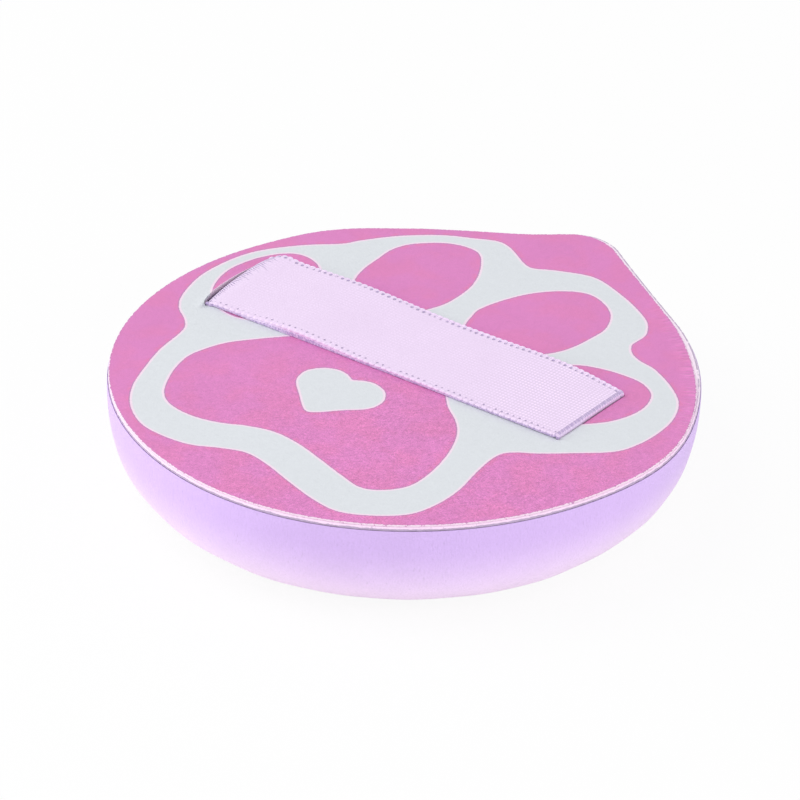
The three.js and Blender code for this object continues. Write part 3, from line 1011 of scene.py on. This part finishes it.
def woven_strip(ribbon, side, line, steps):
    """The woven part as rings, and how far along, across and below the ribbon's top each of their points is. A ring
    goes over the top from one edge to the other and back below, with half round edges."""
    reach = half_girth(ribbon)[0]
    girth = np.linspace(-reach, reach, steps + 1)
    points, normal, sideways, level = ribbon_surface(ribbon, side, line, girth)
    turn = np.linspace(0, math.pi, EDGE_STEPS + 1)[1:-1]
    flat = np.zeros(steps + 1)
    angle = np.concatenate([flat, turn, flat + math.pi, turn + math.pi])
    index = np.arange(steps + 1)
    index = np.concatenate([index, np.full(len(turn), steps), index[::-1], np.zeros(len(turn), int)])
    if side > 0:
        angle, index = angle[::-1], index[::-1]
    radius = ribbon.thickness / 2
    up, out = np.cos(angle)[:, None] * radius, np.sin(angle)[:, None] * radius
    rings = points[:, index] + up * normal[:, index] + out * sideways[:, index]
    along = np.repeat(length_along(line), len(index))
    across = np.tile(girth[index] + radius * np.sin(angle), len(points))
    return rings, along, across, (level[:, index] + radius - rings[..., 2]).ravel()


def edge_thread(ribbon, side, line, edge):
    """One edge's thread on the shoulder of the roll: a round tube that swells once between two stitches, as a power of
    the size of a cosine. It comes with how far along, across and below the ribbon's top each of its points is."""
    length = length_along(line)
    station = np.linspace(0, length[-1], int(length[-1] / ribbon.stitch_pitch * STITCH_STEPS))
    swell = np.abs(np.cos(math.pi * station / ribbon.stitch_pitch)) ** THREAD_POWER
    stations = np.interp(station, length, line[0]), np.interp(station, length, line[1])
    whole, flat = half_girth(ribbon)
    shoulder = flat + ribbon.roll_radius * QUARTER_TURN / 2
    rows = ribbon_surface(ribbon, side, stations, np.array([-shoulder, shoulder]))
    points, normal, sideways, level = (row[:, (edge + 1) // 2] for row in rows)
    centre = points + normal * ribbon.thickness * THREAD_UP + edge * sideways * ribbon.thickness * THREAD_OUT
    surface = tube(centre, ribbon.thread_radius * (THREAD_LEAST + (1 - THREAD_LEAST) * swell), THREAD_SIDES)
    station, level = (np.append(np.repeat(row, THREAD_SIDES), row[[0, -1]]) for row in (station, level))
    return surface, station, np.full(len(station), edge * whole), level + ribbon.thickness / 2 - surface[0][:, 2]


def carry_places(piece, *parts):
    """Gives a ribbon's vertices their places along it, across it and below its top."""
    for name, values in zip(("along", "across", "hang"), zip(*parts)):
        carry(piece, name, np.concatenate(values))


def build_ribbon_half(ribbon, colours, name, side, end):
    """Half of the ribbon's free span with its bend into the slit, and the looped threads along its two edges."""
    line = span_line(ribbon, side)
    rings, *places = woven_strip(ribbon, side, line, ACROSS_STEPS)
    (front, *front_places), (back, *back_places) = (edge_thread(ribbon, side, line, edge) for edge in (-1, 1))
    count = len(front[0])
    threads = [np.concatenate([one, two + shift]) for one, two, shift in zip(front, back, (0, count, count))]
    piece = mesh_object(name, band(rings), threads)
    carry_places(piece, places, front_places, back_places)
    length = float(length_along(line)[-1])
    fold = length - (LEFT_END_HIGH.z - FACE_MIDDLE)
    gather = GATHER_REACH if side < 0 else 0
    dress(piece, [satin_finish(ribbon, colours, "satin_" + end, fold, gather), thread_finish(colours)])
    start = (STRAP_X + side * (slit_reach(ribbon, side) - ribbon.bend_radius), STRAP_Y, LEFT_END_HIGH.z)
    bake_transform(piece)
    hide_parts("strap_span", "strap_end_" + end)


def build_ribbon_tail(ribbon, colours, name, side, end):
    """A hidden end of the ribbon, from inside its slit round the lower bend and back under the face."""
    line = tail_line(ribbon, side)
    rings, *places = woven_strip(ribbon, side, line, ACROSS_STEPS // 4)
    piece = mesh_object(name, band(rings))
    carry_places(piece, places)
    length = float(places[0][-1])
    dress(piece, [satin_finish(ribbon, colours, "satin_tail_" + end, -length, 0)], "puff")
    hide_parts("strap_end_" + end)


def cloth_finish(colours):
    """Short-napped cloth with pink ink: grainy, mottled, hotter in places along the print's edges and greyer right at
    them, creased where it was cut at the rim, greyed there with painted shade, pale where the left slit cuts it, and
    darkened with painted shade at the right one."""
    finish = Finish("printed_cloth", Roughness=0.85, Sheen_Weight=0.15, Sheen_Roughness=0.4, Specular_IOR_Level=0.25)
    place, depth, rim_depth = finish.place(), finish.value("print_depth"), finish.value("rim_depth")
    fine = place.noise(0.16 * MM, 1)
    rough = place.noise(0.3 * MM, 2, 0.6)
    grain = place.noise(0.34 * MM, 2, 0.6)
    felt = place.noise(1.1 * MM, 3, 0.6)
    slow = place.noise(9 * MM)
    strands = pile_strands(finish)
    creases = cut_creases(finish)
    edge = rough * (0.16 * MM) + depth
    near = depth.ramp(0, 0.12 * MM) * depth.ramp(1.1 * MM, 0.2 * MM)
    pool = near * place.noise(1.3 * MM).ramp(0.42, 0.62)
    drift = place.noise(5 * MM, 3, 0.55).ramp(0.4, 0.65)
    pink = finish.paint(colours.pink).toward(colours.hot_pink, (pool * 0.8).larger(drift * 0.45))
    front = finish.axis("Y").ramp(18 * MM, -14 * MM) * finish.axis("X").ramp(-34 * MM, 6 * MM)
    for noise, back, more in (
        (fine, 0.05, 0.36), (grain, 0.04, 0.28), (strands, 0.03, 0.1), (felt, 0.04, 0.08), (slow, 0.05, 0.02)
    ):
        pink = pink.shade(noise.vary(front * more + back))
    brim = edge.ramp(0.3 * MM, 0.16 * MM) * felt.ramp(0.3, 0.5)
    # Painted shade: the pink is greyed along the cloth's cut rim.
    rim_edge_shade = rim_depth.ramp(0.26 * MM, 0.08 * MM) * felt.ramp(0.35, 0.5)
    # Painted shade: the pink is darkened next to the right slit, where the ribbon's fold goes in.
    right_slit_shade = finish.value("fold_depth").ramp(0.2 * MM, 0.05 * MM)
    pink = pink.shade(creases * 0.16 + 1.0).toward(colours.film, brim * 0.55).toward(colours.film, rim_edge_shade * 0.4)
    pink = pink.shade(right_slit_shade * -0.6 + 1.0)
    pale = finish.paint(colours.pale).shade(felt.vary(0.03)).shade(grain.vary(0.03))
    pale = pale.toward(colours.halo, edge.ramp(-0.3 * MM, -0.1 * MM) * 0.9)
    ink = edge.ramp(0.03 * MM, 0.13 * MM) * finish.value("lip_depth").ramp(0.02 * MM, 0.1 * MM)
    ink = ink * (rough * (-0.5 * MM) + rim_depth).ramp(-0.2 * MM, -0.12 * MM)
    normal = felt.bump(0.05 * MM, grain.bump(0.06 * MM))
    return finish.done(pale.toward(pink, ink), creases.bump(0.12 * MM, normal))


def pile_strands(finish):
    """Noise drawn out along the way that the nap lies, which is between the two axes."""
    x, y = finish.axis("X"), finish.axis("Y")
    aside, ahead = 0.35, 0.94
    laid_out = finish.joined((x * aside + y * ahead) * 0.35, x * ahead - y * aside)
    return laid_out.noise(0.42 * MM, 2, 0.6)


def cut_creases(finish):
    """Short creases that run in from the rim on the flank to the right of the camera, each a streak of noise laid out
    round the rim and in from it."""
    angle, rim_depth = finish.angle(), finish.value("rim_depth")
    streaks = finish.joined(angle * (ROUND_RADIUS / (0.42 * MM)), rim_depth / (2.2 * MM)).noise(1.0, 1)
    window = angle.ramp(0.05, 0.4) * angle.ramp(1.3, 0.85)
    return rim_depth.ramp(2.6 * MM, 0.3 * MM) * window * streaks.ramp(0.35, 0.7)


def rim_finish(shape, colours):
    """Pale backing whose cut edge is beaded, broken by small grey gaps and stained by the film from below, and whose
    brink is grey along the right flank."""
    finish = Finish("backing_sheet", Roughness=0.7, Sheen_Weight=0.2)
    place, angle, rim_depth = finish.place(), finish.angle(), finish.value("rim_depth")
    beads = place.stretch(1, 1, 0.35).noise(0.5 * MM, 2, 0.6)
    uneven = place.noise(1.1 * MM, 3, 0.65)
    line = uneven * (-0.36 * MM) + finish.axis("Z")
    middle = BACKING_LOW.z + shape.stain_top - 0.18 * MM
    stain = line.ramp(middle + 0.05 * MM, middle - 0.04 * MM)
    flank = angle.ramp(0.3, 0.7) * angle.ramp(1.8, 1.5)
    brink = rim_depth.ramp(0.4 * MM, 0.32 * MM) * rim_depth.ramp(0.1 * MM, 0.18 * MM) * flank * uneven.ramp(0.3, 0.5)
    stained = finish.paint(colours.film).shade(uneven.vary(0.5))
    colour = finish.paint(colours.rim).shade(place.noise(1.4 * MM).vary(0.06))
    colour = colour.toward(colours.film, beads.ramp(0.38, 0.28) * 0.45).toward(stained, stain * 0.8)
    colour = colour.toward(colours.thread, flank * 0.6).toward(colours.film, brink * 0.75)
    return finish.done(colour, beads.bump(0.14 * MM))


def film_finish(colours):
    """Dark, slightly glossy adhesive, uneven along the groove."""
    finish = Finish("bonding_film", Roughness=0.45)
    uneven = finish.place().noise(1.1 * MM, 3, 0.6)
    return finish.done(finish.paint(colours.film).shade(uneven.vary(0.5)), uneven.bump(0.08 * MM))


def plush_finish(colours):
    """Short dense plush with painted light that makes it paler towards the sole, a soft grain and sparse fine ticks
    where the pile parts.
    """
    finish = Finish("plush_cover", Roughness=0.9, Sheen_Weight=0.3, Sheen_Roughness=0.5, Specular_IOR_Level=0.2)
    place = finish.place()
    pile = place.noise(0.26 * MM, 2, 0.6)
    ticks = place.stretch(1, 1, 0.3).noise(0.24 * MM, 1)
    patches = place.noise(4.5 * MM, 3, 0.55)
    parted = ticks.ramp(0.36, 0.24) * patches.ramp(0.45, 0.6)
    # Painted light: the colour goes from the plush near the rim to a paler, lit colour near the sole.
    colour = finish.paint(colours.plush_lit_low).toward(colours.plush, finish.axis("Z").ramp(1 * MM, 13 * MM))
    for noise, amount in ((patches, 0.035), (ticks, 0.05), (pile, 0.05)):
        colour = colour.shade(noise.vary(amount))
    return finish.done(colour.shade(parted * -0.08 + 1.0), ticks.bump(0.04 * MM, pile.bump(0.06 * MM)))


def foam_finish(colours):
    """Open foam with small round cells."""
    finish = Finish("foam_filling", Roughness=0.95)
    place = finish.place()
    cells = finish.node("TexVoronoi", "Distance", {"Vector": place, "Scale": 1 / (0.7 * MM)})
    return finish.done(finish.paint(colours.foam).shade(place.noise(3 * MM).vary(0.05)), cells.bump(0.2 * MM))


def satin_finish(ribbon, colours, name, fold, gather):
    """Satin weave along the ribbon's own length and width: small checks that come and go, a row of stitch holes inside
    each edge, blotted edges in shade, and the fold: where it gathers, creases that run in from it, and else a hatched
    band. The holes, the creases and the band are painted with shade, and so is the part that goes down into the slit."""
    finish = Finish(name, Roughness=0.5, Sheen_Weight=0.15, Sheen_Roughness=0.3, Specular_IOR_Level=0.35)
    place, along, across = finish.place(), finish.value("along"), finish.value("across")
    checks = along.wave(ribbon.weave_pitch) * across.wave(1.15 * ribbon.weave_pitch) + 0.25
    slow = place.noise(5 * MM)
    shown = slow.ramp(0.45, 0.6) * 0.04 + 0.01
    if not gather:
        shown = along.ramp(4 * MM, 20 * MM) * 0.11 + shown
    inwards = fold - along
    gathers = gathered_fold(finish, inwards, gather) if gather else hatched_fold(finish, inwards)
    # Painted shade: the ribbon is darkened where it goes down into its slit.
    deep = inwards.ramp(-0.34 * MM if gather else -0.5 * MM, -0.6 * MM)
    holes = stitch_holes(finish, ribbon)
    colour = finish.paint(colours.ribbon).shade(checks.vary(shown))
    for noise, amount in ((slow, 0.03), (place.noise(0.2 * MM, 1), 0.05)):
        colour = colour.shade(noise.vary(amount))
    # Painted shade: the low edge, the fold's creases or band, and the stitch holes are mixed towards the shade colour.
    for factor, amount in ((fringe_shade(finish), 0.85), (gathers, 0.85), (holes, 0.9)):
        colour = colour.toward(colours.fold, factor * amount)
    normal = gathers.bump(-0.05 * MM, checks.bump(0.03 * MM))
    return finish.done(colour.shade(deep * (-0.7 if gather else -0.35) + 1.0), holes.bump(-0.12 * MM, normal))


def stitch_holes(finish, ribbon):
    """A row of small holes inside each edge, some of them closed: where the distance to the nearest hole's middle is
    short. Those at the back are wider. In them the satin is painted with shade."""
    along, across = finish.value("along"), finish.value("across")
    beside = ((along / ribbon.stitch_pitch).math("FRACT") - 0.5) * ribbon.stitch_pitch
    inset = HALF_WIDTH - abs(across) - ribbon.stitch_inset
    away = (beside**2.0 + inset**2.0).math("SQRT") - across.ramp(-1 * MM, 1 * MM) * (0.06 * MM)
    return away.ramp(0.2 * MM, 0.07 * MM) * finish.place().noise(0.8 * MM, 1).ramp(0.36, 0.52)


def slanting(finish, inwards, slope):
    """A number that is the same along lines that slant across the ribbon, as coordinates for noise and, a little
    bent, by itself."""
    slant = inwards * slope + finish.value("across")
    return finish.joined(slant), finish.place().noise(1.2 * MM, 1) * (0.5 * MM) + slant


def gathered_fold(finish, inwards, gather):
    """Fine slanting creases that run in from the fold unevenly far, and farther at the back. Along them the satin is
    painted with shade, and they also give it a slight relief.
    """
    lane, slant = slanting(finish, inwards, 0.6)
    reach = lane.noise(0.5 * MM, 1).ramp(0.3, 0.7) * gather + 0.5 * MM
    reach = reach * (finish.value("across").ramp(-6 * MM, 4 * MM) * 0.6 + 0.5)
    return (inwards / reach).ramp(1.0, 0.15) * slant.wave(0.4 * MM).ramp(0.45, 0.9)


def hatched_fold(finish, inwards):
    """A narrow band of slanting blotches just past the fold, and a light shade from there down."""
    lane, slant = slanting(finish, inwards, -0.5)
    hatch = inwards.ramp(0.1 * MM, 0.0) * inwards.ramp(-0.36 * MM, -0.2 * MM)
    blotch = slant.wave(0.26 * MM) * 0.4 + lane.noise(0.3 * MM, 2, 0.65).ramp(0.4, 0.55)
    return (hatch * (blotch * 0.62 + 0.2)).larger(inwards.ramp(0.1 * MM, -0.3 * MM) * 0.22)


def fringe_shade(finish):
    """How dark the edge that faces the front is: blotted, and only on what hangs well below the ribbon's top or comes
    close to the face."""
    place = finish.place()
    uneven = place.noise(0.45 * MM, 2, 0.65)
    close = uneven * (0.3 * MM) + (finish.axis("Z") - CLOTH_HIGH.z)
    hanging = uneven * (-0.3 * MM) + finish.value("hang")
    low = hanging.ramp(0.3 * MM, 0.42 * MM).larger(close.ramp(0.6 * MM, 0.46 * MM))
    blots = place.noise(0.35 * MM, 2, 0.65).ramp(0.4, 0.6)
    return low * finish.value("across").ramp(-6.9 * MM, -7.3 * MM) * (blots * 0.6 + 0.4)


def thread_finish(colours):
    """The edge thread: pale and twisted, so that it shades in short slanting bands, and painted darker with shade where
    it hangs low.
    """
    finish = Finish("edge_thread", Roughness=0.55, Sheen_Weight=0.3)
    twist = finish.value("along").wave(0.23 * MM)
    colour = finish.paint(colours.thread).shade(twist.vary(0.05)).shade(finish.place().noise(0.6 * MM).vary(0.06))
    return finish.done(colour.toward(colours.fold, fringe_shade(finish) * 0.8), twist.bump(0.03 * MM))


def tab_finish(colours):
    """Thin bonded fibre in no direction."""
    finish = Finish("bonding_tab", Roughness=0.8)
    fibres = finish.place().stretch(1, 3, 1).noise(0.6 * MM, 4, 0.7)
    return finish.done(finish.paint(colours.tab).shade(fibres.vary(0.08)), fibres.bump(0.05 * MM))


def seen_or_mirrored(tree):
    """1 for rays from the camera and rays that gloss or glass sends on, else 0."""
    camera, gloss, glass = (tree.node("LightPath", f"Is {kind} Ray") for kind in ("Camera", "Glossy", "Transmission"))
    return camera.larger(gloss).larger(glass)


def build_world(stage):
    """Even light all round, which shows as plain white where it is seen."""
    world = bpy.data.worlds.new("studio_sky")
    tree = Tree(world)
    strength = tree.node("MapRange", "Result", {"Value": seen_or_mirrored(tree), "To Min": stage.sky, "To Max": 1.0})
    tree.feed(tree.nodes["Background"], {"Color": (1, 1, 1, 1), "Strength": strength})
    bpy.context.scene.world = world


def build_floor(stage):
    """A plain pale floor just under the sole. It takes the shadow, and a glow that only shows to the eye lifts it to
    white."""
    half = stage.floor_size / 2
    corners = np.array([(-half, -half), (half, -half), (half, half), (-half, half)])
    quads, triangles = np.arange(4)[None], np.zeros((0, 3), int)
    floor = mesh_object("floor", (raised(corners, CAD_BOX[0].z - FLOOR_GAP), quads, triangles))
    paper = Finish("floor_paper", Base_Color=(0.9, 0.9, 0.9, 1), Roughness=1.0, Specular_IOR_Level=0.0)
    lit, glow = Signal(paper, paper.shader.outputs["BSDF"]), paper.node("Emission", "Emission")
    mixed = paper.node("MixShader", 0, {"Fac": seen_or_mirrored(paper) * stage.floor_glow, 1: lit, 2: glow})
    paper.feed(paper.nodes["Material Output"], {"Surface": mixed})
    floor.data.materials.append(paper.material)


def build_lamp(name, place, aim, size, power):
    """A square soft lamp that faces a point."""
    lamp = bpy.data.lights.new(name, "AREA")
    lamp.shape = "SQUARE"
    lamp.size = size
    lamp.energy = power
    holder = bpy.data.objects.new(name, lamp)
    holder.location = place
    holder.rotation_euler = (Vector(aim) - Vector(place)).to_track_quat("-Z", "Y").to_euler()
    bpy.context.scene.collection.objects.link(holder)


def build_camera(stage):
    """The camera, at an angle round the puff and above the table, and turned a little about its own view."""
    around, above, roll = (math.radians(x) for x in (stage.azimuth, stage.elevation, stage.roll))
    back = Vector((math.sin(around) * math.cos(above), -math.cos(around) * math.cos(above), math.sin(above)))
    level = Vector((math.cos(around), math.sin(around), 0))
    upright = back.cross(level)
    right = level * math.cos(roll) + upright * math.sin(roll)
    up = upright * math.cos(roll) - level * math.sin(roll)
    camera = bpy.data.cameras.new("camera")
    camera.lens = stage.lens
    camera.sensor_width = SENSOR_WIDTH
    holder = bpy.data.objects.new("camera", camera)
    turn = Matrix((right, up, back)).transposed().to_4x4()
    holder.matrix_world = Matrix.Translation(Vector(stage.aim) + back * stage.distance) @ turn
    bpy.context.scene.collection.objects.link(holder)
    bpy.context.scene.camera = holder


class PUFF_OT_face(bpy.types.Operator):
    """Build the printed cloth and the pale backing sheet under it"""

    bl_idname = "puff.face"
    bl_label = "Face"

    def execute(self, context):
        scene = context.scene
        for build in (build_cloth, build_backing, build_film):
            build(scene.puff_shape, scene.puff_ribbon, scene.puff_colours)
        return {"FINISHED"}


class PUFF_OT_body(bpy.types.Operator):
    """Build the plush cover and the foam core inside it"""

    bl_idname = "puff.body"
    bl_label = "Body"

    def execute(self, context):
        scene = context.scene
        build_cover(scene.puff_shape, scene.puff_colours)
        build_core(scene.puff_shape, scene.puff_ribbon, scene.puff_colours)
        return {"FINISHED"}


class PUFF_OT_strap(bpy.types.Operator):
    """Build both halves of the ribbon strap"""

    bl_idname = "puff.strap"
    bl_label = "Strap"

    def execute(self, context):
        scene = context.scene
        for side, end in ((-1, "left"), (1, "right")):
            build_ribbon_half(scene.puff_ribbon, scene.puff_colours, "ribbon_" + end, side, end)
        return {"FINISHED"}


class PUFF_OT_tails(bpy.types.Operator):
    """Build the ribbon's hidden tails and the tabs that bond them"""

    bl_idname = "puff.tails"
    bl_label = "Tails and tabs"

    def execute(self, context):
        scene = context.scene
        for side, end in ((-1, "left"), (1, "right")):
            build_ribbon_tail(scene.puff_ribbon, scene.puff_colours, "ribbon_tail_" + end, side, end)
            build_tab(scene.puff_shape, scene.puff_colours, "tab_" + end, "tail_tab_" + end)
        return {"FINISHED"}


class PUFF_OT_stage(bpy.types.Operator):
    """Build the floor, the light and the camera"""

    bl_idname = "puff.stage"
    bl_label = "Stage"

    def execute(self, context):
        scene = context.scene
        stage = scene.puff_stage
        scene.view_settings.view_transform = "Standard"
        build_world(stage)
        build_floor(stage)
        for name, place, size, power in (
            ("overhead_lamp", (-0.3, -0.25, 0.55), 0.5, stage.key_power),
            ("left_lamp", (-0.6, -0.35, 0.15), 0.4, stage.left_power),
            ("right_lamp", (0.65, 0.2, 0.15), 0.4, stage.right_power),
            ("front_lamp", (0.4, -0.65, 0.18), 0.6, stage.front_power),
        ):
            build_lamp(name, place, (0, 0, 0.01), size, power)
        build_camera(stage)
        return {"FINISHED"}


class PUFF_PT_panel(bpy.types.Panel):
    """The puff's pieces and their sizes"""

    bl_idname = "PUFF_PT_panel"
    bl_label = "Makeup puff"
    bl_space_type = "VIEW_3D"
    bl_region_type = "UI"
    bl_category = "Puff"

    def draw(self, context):
        for operator in OPERATORS:
            self.layout.operator(operator.bl_idname)
        for name in GROUPS:
            group = getattr(context.scene, name)
            box = self.layout.box()
            for key in group.bl_rna.properties.keys():
                if key not in ("rna_type", "name"):
                    box.prop(group, key)


OPERATORS = (PUFF_OT_face, PUFF_OT_body, PUFF_OT_strap, PUFF_OT_tails, PUFF_OT_stage)
GROUPS = {
    "puff_shape": PuffShape,
    "puff_ribbon": PuffRibbon,
    "puff_colours": PuffColours,
    "puff_stage": PuffStage,
}


def register():
    for one in (*GROUPS.values(), *OPERATORS, PUFF_PT_panel):
        bpy.utils.register_class(one)
    for name, group in GROUPS.items():
        setattr(bpy.types.Scene, name, bpy.props.PointerProperty(type=group))


def unregister():
    for name in GROUPS:
        delattr(bpy.types.Scene, name)
    for one in reversed((*GROUPS.values(), *OPERATORS, PUFF_PT_panel)):
        bpy.utils.unregister_class(one)


def main():
    register()
    for step in (bpy.ops.puff.face, bpy.ops.puff.body, bpy.ops.puff.strap, bpy.ops.puff.tails, bpy.ops.puff.stage):
        step()


if __name__ == "__main__":
    main()
